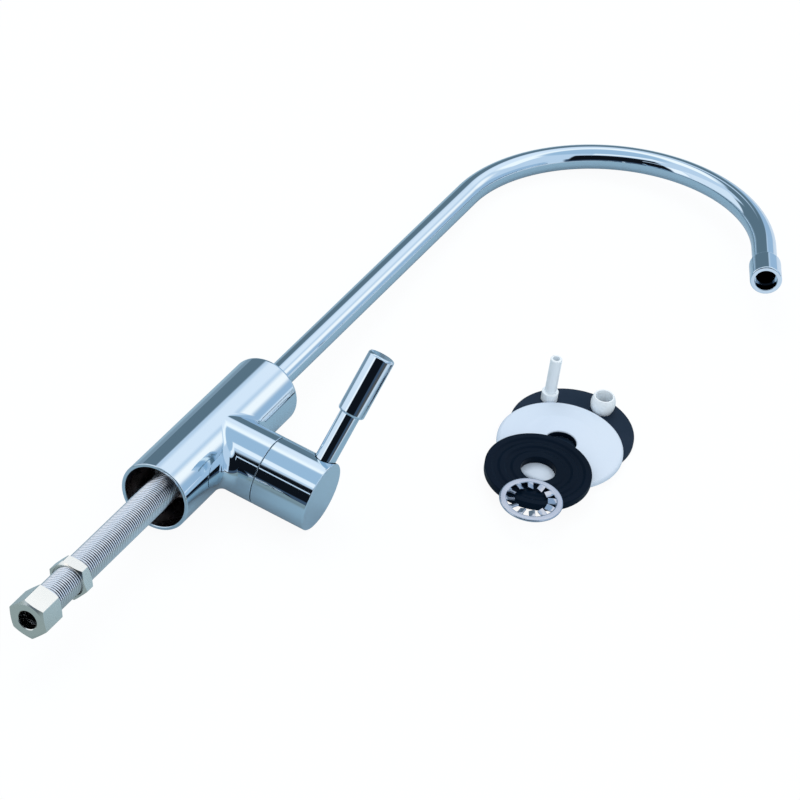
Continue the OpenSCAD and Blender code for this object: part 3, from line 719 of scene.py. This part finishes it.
def fit_normals(mesh, surfaces):
    """Gives each corner of a cut mesh the exact normal of the surface that its face lies on."""
    co = np.array([v.co for v in mesh.vertices]) / MM
    split = []
    for face in mesh.polygons:
        corners = co[list(face.vertices)]
        facing = np.array(face.normal)
        best = None
        for surface in surfaces:
            off, normal = surface(corners)
            miss = np.abs(off).max() + TURN_WEIGHT * (1 - (normal @ facing).min())
            if best is None or miss < best[0]:
                best = (miss, normal)
        split.extend(best[1] if best[0] < FIT_LIMIT else [facing] * len(corners))
    mesh.shade_smooth()
    mesh.normals_split_custom_set([tuple(n) for n in split])


def round_surface(place, radius, inward=False):
    """A round wall about a place's Z axis."""
    inverse = np.linalg.inv(place)

    def measure(p):
        q = p @ inverse[:3, :3].T + inverse[:3, 3]
        r = np.linalg.norm(q[:, :2], axis=1)
        n = np.column_stack([q[:, :2] / r[:, None], np.zeros(len(q))]) @ place[:3, :3].T
        return r - radius, -n if inward else n
    return measure


def flat_surface(place, z, up=1.0):
    """A flat face across a place's Z axis."""
    normal, origin = place[:3, 2] * up, place[:3, 3] + place[:3, 2] * z

    def measure(p):
        return (p - origin) @ place[:3, 2], np.repeat(normal[None], len(p), 0)
    return measure


def edge_surface(place, radius, z, soft):
    """The rounded rim of a turned piece, whose arc is centred at that radius and height."""
    inverse = np.linalg.inv(place)

    def measure(p):
        q = p @ inverse[:3, :3].T + inverse[:3, 3]
        r = np.linalg.norm(q[:, :2], axis=1)
        arm = np.stack([r - radius, q[:, 2] - z], -1)
        size = np.linalg.norm(arm, axis=1)
        arm /= np.maximum(size, TINY)[:, None]
        n = np.column_stack([q[:, :2] / r[:, None] * arm[:, :1], arm[:, 1]]) @ place[:3, :3].T
        off = np.where((arm > -EDGE_SLACK).all(1), size - soft, MISS)
        return off, n
    return measure


def cut_away(mesh, cutter):
    """The first mesh with the second taken out of it."""
    keep, tool = add_object("blank", mesh), add_object("cutter", cutter)
    cut = keep.modifiers.new("cut", "BOOLEAN")
    cut.operation, cut.solver, cut.object = "DIFFERENCE", "EXACT", tool
    made = bpy.data.meshes.new_from_object(keep.evaluated_get(bpy.context.evaluated_depsgraph_get()))
    for o in (keep, tool):
        bpy.data.objects.remove(o)
    return made


HUB_STEP, CUT_PAST = 0.45, 4


def hub_mesh():
    """The hub of the handle, with its lever's seat and hole cut into it."""
    recess, hole, past = HUB_START + HUB_RECESS_T, ROD_TIP_R + FIT, BRANCH_R + CUT_PAST
    blank = turned([
        (BRANCH_R, HUB_START, HUB_FOOT_ROUND), (BRANCH_R, HUB_END, HUB_EDGE), (0, HUB_END),
        (0, SPINDLE_HOLE_END), (SPINDLE_HOLE_R, SPINDLE_HOLE_END), (SPINDLE_HOLE_R, HUB_CORE_END),
        (HUB_CORE_R, HUB_CORE_END), (HUB_CORE_R, recess), (HUB_RECESS_R, recess), (HUB_RECESS_R, HUB_START),
    ], BRANCH, count=200, step=HUB_STEP)
    tool = turned([
        (0, ROD_HOLE_END), (hole, ROD_HOLE_END), (hole, ROD_SEAT),
        (SPOT_R, ROD_SEAT), (SPOT_R, past), (0, past),
    ], LEVER, count=96)
    made = cut_away(blank, tool)
    fit_normals(made, [
        round_surface(BRANCH, BRANCH_R), flat_surface(BRANCH, HUB_END), flat_surface(BRANCH, HUB_START, -1.0),
        edge_surface(BRANCH, BRANCH_R - HUB_EDGE, HUB_END - HUB_EDGE, HUB_EDGE),
        flat_surface(LEVER, ROD_SEAT), round_surface(LEVER, SPOT_R, True), round_surface(LEVER, hole, True),
        round_surface(BRANCH, HUB_RECESS_R, True), round_surface(BRANCH, HUB_CORE_R, True),
    ])
    return made


show("handle_hub_turned", hub_mesh(), "handle", "chrome", CHROME, "handle_hub")
rod_foot, rod_top = ROD_SEAT + REST_GAP, GRIP_START - REST_GAP
show("lever_rod_turned", turned([
    (0, ROD_TIP_START), (ROD_TIP_R, ROD_TIP_START, EASED), (ROD_TIP_R, rod_foot),
    (ROD_R, rod_foot, ROD_ROUND), (ROD_R, rod_top, ROD_ROUND), (ROD_TIP_R, rod_top),
    (ROD_TIP_R, ROD_TIP_END, EASED), (0, ROD_TIP_END),
], LEVER, count=96), "handle", "chrome", CHROME, "lever_rod")
show("lever_grip_turned", turned([
    (ROD_TIP_R + FIT, GRIP_START), (GRIP_R, GRIP_START, GRIP_ROUND), (GRIP_R, GRIP_END, GRIP_ROUND),
    (0, GRIP_END), (0, GRIP_SOCKET), (ROD_TIP_R + FIT, GRIP_SOCKET),
], LEVER, count=96, arc=10), "handle", "chrome", CHROME, "lever_grip")


# Spout

ARCH_RINGS, TUBE_STEPS = 181, 72


def spout_mesh():
    """The bent tube: its wall swept along the riser, the gooseneck and the outlet."""
    path = [(0, 0, TUBE_FOOT, 0), (0, 0, RISER_JOIN, 0)]
    for a in np.linspace(0, math.radians(ARCH_SWEEP), ARCH_RINGS):
        path.append((ARCH_R * (1 - math.cos(a)), 0, RISER_TOP + ARCH_R * math.sin(a), a))
    last = math.radians(ARCH_SWEEP)
    run = OUTLET_L - COLLAR_LAND
    path.append((path[-1][0] + run * math.sin(last), 0, path[-1][2] + run * math.cos(last), last))
    path = np.array(path)
    angles = around(TUBE_STEPS)
    ring = np.stack([np.cos(angles), np.sin(angles)], -1)
    side = np.stack([np.cos(path[:, 3]), np.zeros(len(path)), -np.sin(path[:, 3])], -1)
    normal = ring[None, :, :1] * side[:, None] + ring[None, :, 1:] * np.array([0, 1.0, 0])
    shell = Shell()
    shell.grid(path[:, None, :3] + TUBE_R * normal, normal, SPOUT)
    shell.grid(path[:, None, :3] + TUBE_BORE_R * normal, -normal, SPOUT)
    for k, sign in ((0, -1), (-1, 1)):
        ahead = sign * np.array([math.sin(path[k, 3]), 0, math.cos(path[k, 3])])
        wall = np.stack([path[k, :3] + r * normal[k] for r in (TUBE_BORE_R, TUBE_R)])
        shell.grid(wall, np.broadcast_to(ahead, wall.shape), SPOUT)
    return shell.mesh()


show("spout_tube_bent", spout_mesh(), "spout", "chrome", CHROME, "spout_tube")
collar_z, land_z = OUTLET_L - COLLAR_L, OUTLET_L - COLLAR_LAND + REST_GAP
show("outlet_collar_turned", turned([
    (TUBE_R + FIT, collar_z, KEEN), (COLLAR_R, collar_z, COLLAR_SHOULDER), (COLLAR_R, OUTLET_L, COLLAR_LIP),
    (COLLAR_BORE_R, OUTLET_L, COLLAR_MOUTH), (COLLAR_BORE_R, land_z), (TUBE_R + FIT, land_z),
], OUTLET, count=96, arc=10), "spout", "chrome", CHROME, "outlet_collar")


# Loose kit

white_z = RUBBER_T + REST_GAP
ribbed_z = white_z + WHITE_T + REST_GAP
tooth_z = ribbed_z + RIBBED_T + REST_GAP


def in_kit(off, z):
    return shift(KIT_X + off[0], KIT_Y + off[1], FLOOR_Z + z)


show("flat_rubber_washer", turned([
    (WASHER_HOLE_R, 0, RUBBER_FOOT), (RUBBER_R, 0, RUBBER_FOOT), (RUBBER_R, RUBBER_T, RUBBER_EDGE),
    (WASHER_HOLE_R, RUBBER_T, KEEN),
], in_kit(RUBBER_OFF, 0), count=160), "tap_body", "rubber", RUBBER, "rubber_washer")

white_place = in_kit((0, 0), white_z)
cover = show("white_cover_washer", turned([
    (WASHER_HOLE_R, 0, KEEN), (WHITE_R, 0, WHITE_FOOT), (WHITE_R, WHITE_T - WHITE_CROWN, WHITE_SHOULDER),
    (WHITE_R - WHITE_SLOPE, WHITE_T, WHITE_BULGE), (WASHER_HOLE_R, WHITE_T, WHITE_LIP),
], white_place, count=160, arc=10), "tap_body", "white_plastic", WHITE, "white_washer")
# The wall of the white washer's hole takes the dark ribbed rubber as painted shade, in place of the shadowed
# hollow under a thin cover.
line_hole(cover, RIBBED_RUBBER, white_place, WASHER_HOLE_R, WHITE_FOOT, WHITE_T - WHITE_LIP)

groove_z = RIBBED_T - GROOVE
ribs = [(RIBBED_HOLE_R, 0, EASED), (RIBBED_R, 0, EASED), (RIBBED_R, RIBBED_T, RIBBED_EDGE)]
for outer, inner in GROOVE_EDGES:
    for edge, before, after in ((outer, RIBBED_T, groove_z), (inner, groove_z, RIBBED_T)):
        ribs.append((RIBBED_R * edge + RIB_SLOPE, before, RIB_ROUND))
        ribs.append((RIBBED_R * edge - RIB_SLOPE, after, RIB_ROUND))
ribs.append((RIBBED_HOLE_R, RIBBED_T, EASED))
show("ribbed_rubber_washer", turned(
    ribs, in_kit(RIBBED_OFF, ribbed_z), count=160, arc=4,
), "tap_body", "rubber", RIBBED_RUBBER, "ribbed_washer")


def beside_white(reach, bearing):
    """A place on the rubber washer for a piece of that radius, close behind the white washer."""
    away, a = WHITE_R + BESIDE_WHITE + reach, math.radians(bearing)
    return in_kit((away * math.cos(a), away * math.sin(a)), white_z)


FERRULE_ROWS, FERRULE_STEPS = 15, 72


def ferrule_mesh():
    """A barrel-shaped ring, whose outside is one arc from end to end."""
    half, fall = FERRULE_H / 2, FERRULE_R - FERRULE_R * FERRULE_END
    barrel = (half ** 2 + fall ** 2) / (2 * fall)
    rise = np.linspace(FERRULE_LIP, FERRULE_H - FERRULE_LIP, FERRULE_ROWS)
    out = FERRULE_R - barrel + np.sqrt(barrel ** 2 - (rise - half) ** 2)
    stretch = [(r, z, (r - FERRULE_R + barrel) / barrel, (z - half) / barrel) for r, z in zip(out, rise)]
    rest = outline([
        (out[-1], rise[-1]), (out[-1] - FERRULE_INSET, FERRULE_H, FERRULE_EDGE),
        (FERRULE_BORE_R, FERRULE_H, FERRULE_MOUTH), (FERRULE_BORE_R, 0, FERRULE_MOUTH),
        (out[0] - FERRULE_INSET, 0, FERRULE_EDGE), (out[0], rise[0]),
    ], closed=False)
    shell = Shell()
    revolve(shell, [stretch] + rest, beside_white(FERRULE_R, FERRULE_BEARING), around(FERRULE_STEPS))
    return shell.mesh()


show("barrel_ferrule", ferrule_mesh(), "tap_body", "natural_plastic", NATURAL, "ferrule")
insert_place = beside_white(INSERT_COLLAR_R, INSERT_BEARING)
show("tube_insert_moulded", turned([
    (INSERT_BORE_R, 0, INSERT_FOOT), (INSERT_COLLAR_R, 0, EASED),
    (INSERT_COLLAR_R, INSERT_COLLAR_H, INSERT_SHOULDER), (INSERT_R, INSERT_COLLAR_H, INSERT_NECK),
    (INSERT_R, INSERT_L, INSERT_TIP), (INSERT_BORE_R, INSERT_L, INSERT_NECK),
], insert_place, count=64), "tap_body", "natural_plastic", NATURAL, "tube_insert")


def teeth_tree():
    """Copies one slice of the lock washer round its middle and welds the slices."""
    tree, given, out = node_tree("lock_teeth", {"Teeth": "Int"})
    teeth = given.outputs["Teeth"]
    line = add_node(tree, "GeometryNodeMeshLine", {"Count": teeth, "Offset": (0, 0, 0)})
    number = tree.nodes.new("GeometryNodeInputIndex")
    share = math_node(tree, "DIVIDE", number.outputs[0], teeth)
    spin = add_node(tree, "ShaderNodeCombineXYZ", {"Z": math_node(tree, "MULTIPLY", share, 2 * math.pi)})
    copy = add_node(tree, "GeometryNodeInstanceOnPoints", {
        "Points": line.outputs["Mesh"], "Instance": given.outputs["Geometry"], "Rotation": spin.outputs[0],
    })
    return close_tree(tree, copy.outputs[0], given, out)


SLICE_POINTS, TOOTH_ROWS, TOOTH_EDGE = 13, 15, 35


def tooth_washer_mesh():
    """One slice of the ring with its twisted tooth, copied round by the tree."""
    slice_ = Shell()
    half = math.pi / TEETH
    section = outline([
        (TOOTH_ROOT_R, 0, RING_ROOT_FOOT), (TOOTH_RING_R, 0, RING_FOOT),
        (TOOTH_RING_R, TOOTH_RING_T, RING_EDGE), (TOOTH_ROOT_R, TOOTH_RING_T, RING_ROOT_EDGE),
    ])
    revolve(slice_, section, None, np.linspace(-half, half, SLICE_POINTS))
    reach = np.linspace(TOOTH_ROOT_R + TOOTH_ROOTED, TOOTH_TIP_R, TOOTH_ROWS)
    ease = np.clip((TOOTH_ROOT_R + TOOTH_BEND_START - reach) / TOOTH_BEND, 0, 1)
    twist = np.radians(TOOTH_TWIST) * ease ** 2 * (3 - 2 * ease)
    w, h = TOOTH_W / 2, TOOTH_THIN / 2
    rim = []
    for stretch in outline([(x, y, TOOTH_ROUND) for x, y in ((-w, -h), (w, -h), (w, h), (-w, h))], arc=3):
        rim.extend(stretch)
    x, y, nx, ny = np.array(rim + rim[:1]).T[:, None]
    c, t = np.cos(twist)[:, None], np.sin(twist)[:, None]
    across, over = x * c - y * t, x * t + y * c
    n_across, n_over = nx * c - ny * t, nx * t + ny * c
    out = np.broadcast_to(reach[:, None], across.shape)
    zero = np.zeros_like(across)
    tooth = np.stack([out, across, over + TOOTH_RING_T / 2], -1)
    slice_.grid(tooth, np.stack([zero, n_across, n_over], -1))
    for k, sign in ((0, 1), (-1, -1)):
        middle = np.broadcast_to([reach[k], 0, TOOTH_RING_T / 2], tooth[k].shape)
        slice_.grid(np.stack([middle, tooth[k]]), np.broadcast_to([sign, 0, 0], (2, *tooth[k].shape)))
    made = run_tree(teeth_tree(), slice_.mesh(exact=False), STEEL, {"Teeth": TEETH})
    droop = (TOOTH_W * math.sin(twist[-1]) + TOOTH_THIN * math.cos(twist[-1]) - TOOTH_RING_T) / 2
    place = in_kit(TOOTH_OFF, tooth_z + droop)
    place[:3, 3] *= MM
    made.transform(Matrix(place.tolist()))
    sharpen(made, TOOTH_EDGE)
    return made


show("tooth_lock_washer", tooth_washer_mesh(), "tap_body", "steel", STEEL, "tooth_washer")

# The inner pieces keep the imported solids, in finishes of their own
INNER_FINISHES = (
    (STEEL, ("spindle_clip",)),
    (RUBBER, ("shank_seal", "seat_seal", "cartridge_o_ring", "spindle_o_ring",
              "lower_spout_o_ring", "upper_spout_o_ring")),
    (CERAMIC, ("fixed_disc", "turning_disc")),
    (BRASS, ("cartridge_sleeve", "spindle", "gland_nut", "spout_spigot")),
    (NATURAL, ("glide_ring", "spout_clip")),
)
for material, names in INNER_FINISHES:
    for name in names:
        mesh = frame["nodes"][name].data
        mesh.materials.clear()
        mesh.materials.append(material)


# Studio

# The table, in metres: its size, how far it lies under the tap, how much it glows, and how much of that
# glow the camera, mirrors and clear pieces see
FLOOR_SIZE, FLOOR_GAP, FLOOR_GLOW = 12.0, 2e-5, 1.06
GLOW_TO_CAMERA, GLOW_IN_MIRRORS, GLOW_THROUGH = 0.88, 0.08, 0.5
FLOOR_SEEN, FLOOR_NEAR = (0.50, 0.60, 0.66), (0.29, 0.44, 0.54)

# The cloth's further tones, seen only in reflections. Each has its shares of x and y, the sums at which it
# starts and is full, and its colour.
CLOTH_TONES = {
    "slate_side": (1, 0, -0.04, -0.10, (0.18, 0.28, 0.36)),
    "dim_front": (0, 1, -0.015, -0.065, (0.20, 0.29, 0.32)),
    "bright_far_side": (1, 0.3, 0.15, 0.21, (0.70, 0.78, 0.88)),
    "dark_end": (1, -0.5, 0.22, 0.32, (0.012, 0.015, 0.02)),
}


def floor_material():
    """A pale table: white to the camera, and in reflections a cloth that ends in a darker room."""
    material = bpy.data.materials.new("pale_floor")
    material.use_nodes = True
    tree = material.node_tree
    tree.nodes.clear()
    x, y, _ = add_node(tree, "ShaderNodeSeparateXYZ", {0: own_space(tree)}).outputs
    cloth = FLOOR_NEAR
    for x_share, y_share, start, full, tone in CLOTH_TONES.values():
        off = math_node(tree, "MULTIPLY_ADD", y, y_share, math_node(tree, "MULTIPLY", x, x_share))
        cloth = mix_colours(tree, soft_step(tree, off, start, full), cloth, tone)
    path = tree.nodes.new("ShaderNodeLightPath").outputs
    tone = mix_colours(tree, path["Is Glossy Ray"], FLOOR_SEEN, cloth)
    matt = add_node(tree, "ShaderNodeBsdfDiffuse", {"Color": tone})
    white = add_node(tree, "ShaderNodeEmission", {"Strength": FLOOR_GLOW})
    seen = math_node(tree, "MULTIPLY", path["Is Camera Ray"], GLOW_TO_CAMERA)
    seen = math_node(tree, "MULTIPLY_ADD", path["Is Glossy Ray"], GLOW_IN_MIRRORS, seen)
    seen = math_node(tree, "MULTIPLY_ADD", path["Is Transmission Ray"], GLOW_THROUGH, seen)
    blend = add_node(tree, "ShaderNodeMixShader", {0: seen, 1: matt.outputs[0], 2: white.outputs[0]})
    add_node(tree, "ShaderNodeOutputMaterial", {"Surface": blend.outputs[0]})
    return material


def studio_floor():
    """The level square under the tap."""
    half, z = FLOOR_SIZE / 2, FLOOR_Z * MM - FLOOR_GAP
    corners = [(-half, -half, z), (half, -half, z), (half, half, z), (-half, half, z)]
    mesh = bpy.data.meshes.new("studio_floor")
    mesh.from_pydata(corners, [], [(0, 1, 2, 3)])
    mesh.materials.append(floor_material())
    plane = add_object("studio_floor", mesh)


studio_floor()


# The light tent round the table, seen only in reflections. Each panel has its middle azimuth, half width,
# lower and upper edge and softness in degrees, and its colour.
TENT_R, TENT_ROWS, TENT_STEPS = 4000, 33, 64
TENT_PALE = (0.68, 0.80, 0.94)
TENT_PANELS = {
    "blue_roof": (0, 180, 70, 90, 8, (0.45, 0.62, 0.79)),
    "blue_belt": (50, 58, -20, 20, 6, (0.42, 0.58, 0.76)),
    "white_cloth": (100, 62, 49, 61, 6, (1.25, 1.22, 1.18)),
    "back_strip": (-90, 42, 58, 66, 3, (1.1, 1.12, 1.15)),
    "pale_cloth": (96, 12, 38, 50, 12, (0.97, 1.02, 1.10)),
    "side_cloth": (-160, 26, 6, 34, 6, (0.92, 0.98, 1.06)),
    "side_strip": (-122, 6, 8, 32, 3, (1.2, 1.18, 1.18)),
    "light_sill": (20, 50, -10, 2.5, 3, (0.80, 0.90, 1.02)),
    "window": (60, 3, 26, 33, 12, (1.26, 1.20, 1.16)),
    "slate_wall": (138, 32, -30, 27.5, 4, (0.14, 0.21, 0.26)),
    "slate_top": (139, 15, 26, 41, 3, (0.14, 0.21, 0.26)),
    "dim_room": (-70, 42, -6, 22, 4, (0.06, 0.10, 0.16)),
    "dark_room": (-71, 40, 10, 50, 3, (0.006, 0.008, 0.012)),
    "strip_light": (-108, 14, 35.5, 38, 0.6, (0.72, 0.84, 0.98)),
}


def tent_material():
    """A cloth that glows in the colours of the panels."""
    material = bpy.data.materials.new("tent_cloth")
    material.use_nodes = True
    tree = material.node_tree
    tree.nodes.clear()
    unit = add_node(tree, "ShaderNodeVectorMath", {0: own_space(tree)}, operation="NORMALIZE")
    x, y, z = add_node(tree, "ShaderNodeSeparateXYZ", {0: unit.outputs[0]}).outputs
    height = math_node(tree, "MULTIPLY", math_node(tree, "ARCSINE", z), math.degrees(1))
    colour = TENT_PALE
    for azimuth, half, low, high, soft, tone in TENT_PANELS.values():
        c, t = math.cos(math.radians(azimuth)), math.sin(math.radians(azimuth))
        along = math_node(tree, "MULTIPLY_ADD", x, c, math_node(tree, "MULTIPLY", y, t))
        across = math_node(tree, "MULTIPLY_ADD", y, c, math_node(tree, "MULTIPLY", x, -t))
        off = math_node(tree, "ABSOLUTE", math_node(tree, "ARCTAN2", across, along))
        off = math_node(tree, "MULTIPLY", off, math.degrees(1))
        over, under = soft_step(tree, height, low - soft, low), soft_step(tree, height, high + soft, high)
        mask = math_node(tree, "MULTIPLY", over, under)
        mask = math_node(tree, "MULTIPLY", mask, soft_step(tree, off, half + soft, half))
        colour = mix_colours(tree, mask, colour, tone)
    glow = add_node(tree, "ShaderNodeEmission", {"Color": colour})
    add_node(tree, "ShaderNodeOutputMaterial", {"Surface": glow.outputs[0]})
    return material


def tent():
    """The dome that carries the panels."""
    shell = Shell()
    rise = np.linspace(-math.pi / 2, math.pi / 2, TENT_ROWS)
    stretch = [(TENT_R * math.cos(a), TENT_R * math.sin(a), -math.cos(a), -math.sin(a)) for a in rise]
    revolve(shell, [stretch], None, around(TENT_STEPS))
    mesh = shell.mesh()
    dome = add_object("light_tent", mesh)
    mesh.materials.append(tent_material())
    for kind in ("camera", "diffuse", "transmission", "volume_scatter", "shadow"):
        setattr(dome, "visible_" + kind, False)


tent()


SKY_SEEN, SKY_LIGHT = 1.0, 0.8


def world_light():
    """White light from all round, stronger where it is seen than where it lights."""
    world = bpy.data.worlds.new("studio")
    bpy.context.scene.world = world
    world.use_nodes = True
    tree = world.node_tree
    back = tree.nodes["Background"]
    back.inputs["Color"].default_value = (1, 1, 1, 1)
    path = tree.nodes.new("ShaderNodeLightPath").outputs
    seen = math_node(tree, "MAXIMUM", path["Is Camera Ray"], path["Is Glossy Ray"])
    seen = math_node(tree, "MAXIMUM", seen, path["Is Transmission Ray"])
    strength = math_node(tree, "MULTIPLY_ADD", seen, SKY_SEEN - SKY_LIGHT, SKY_LIGHT)
    tree.links.new(strength, back.inputs["Strength"])


world_light()


LAMP_AIM, LAMP_SIZE, LAMP_COLOUR = (0.05, 0.1, 0), 0.9, (0.97, 0.98, 1.0)


def lamp(name, place, power):
    """A round soft lamp that mirrors don't see."""
    data = bpy.data.lights.new(name, "AREA")
    data.shape = "DISK"
    data.size, data.energy, data.color = LAMP_SIZE, power, LAMP_COLOUR
    light = add_object(name, data)
    light.location = place
    light.rotation_euler = (Vector(LAMP_AIM) - Vector(place)).to_track_quat("-Z", "Y").to_euler()
    light.visible_glossy = False


lamp("key_lamp", (-0.5, 0.6, 1.3), power=4.6)
lamp("fill_lamp", (0.9, -0.5, 1.1), power=3.0)


def camera():
    """The photograph's view, solved from the tap's own axes."""
    data = bpy.data.cameras.new("photo_view")
    data.lens, data.sensor_width = 202.5, 36.0
    data.clip_start, data.clip_end = 0.05, 30.0
    view = add_object("photo_view", data)
    right = (0.868214, 0.480728, 0.122645)
    up = (-0.395247, 0.520785, 0.756607)
    back = (0.299816, -0.705480, 0.642238)
    place = (0.528707, -1.042646, 1.038465)
    view.matrix_world = Matrix([[right[i], up[i], back[i], place[i]] for i in range(3)] + [[0, 0, 0, 1]])
    bpy.context.scene.camera = view


camera()
bpy.context.scene.view_settings.view_transform = "Standard"
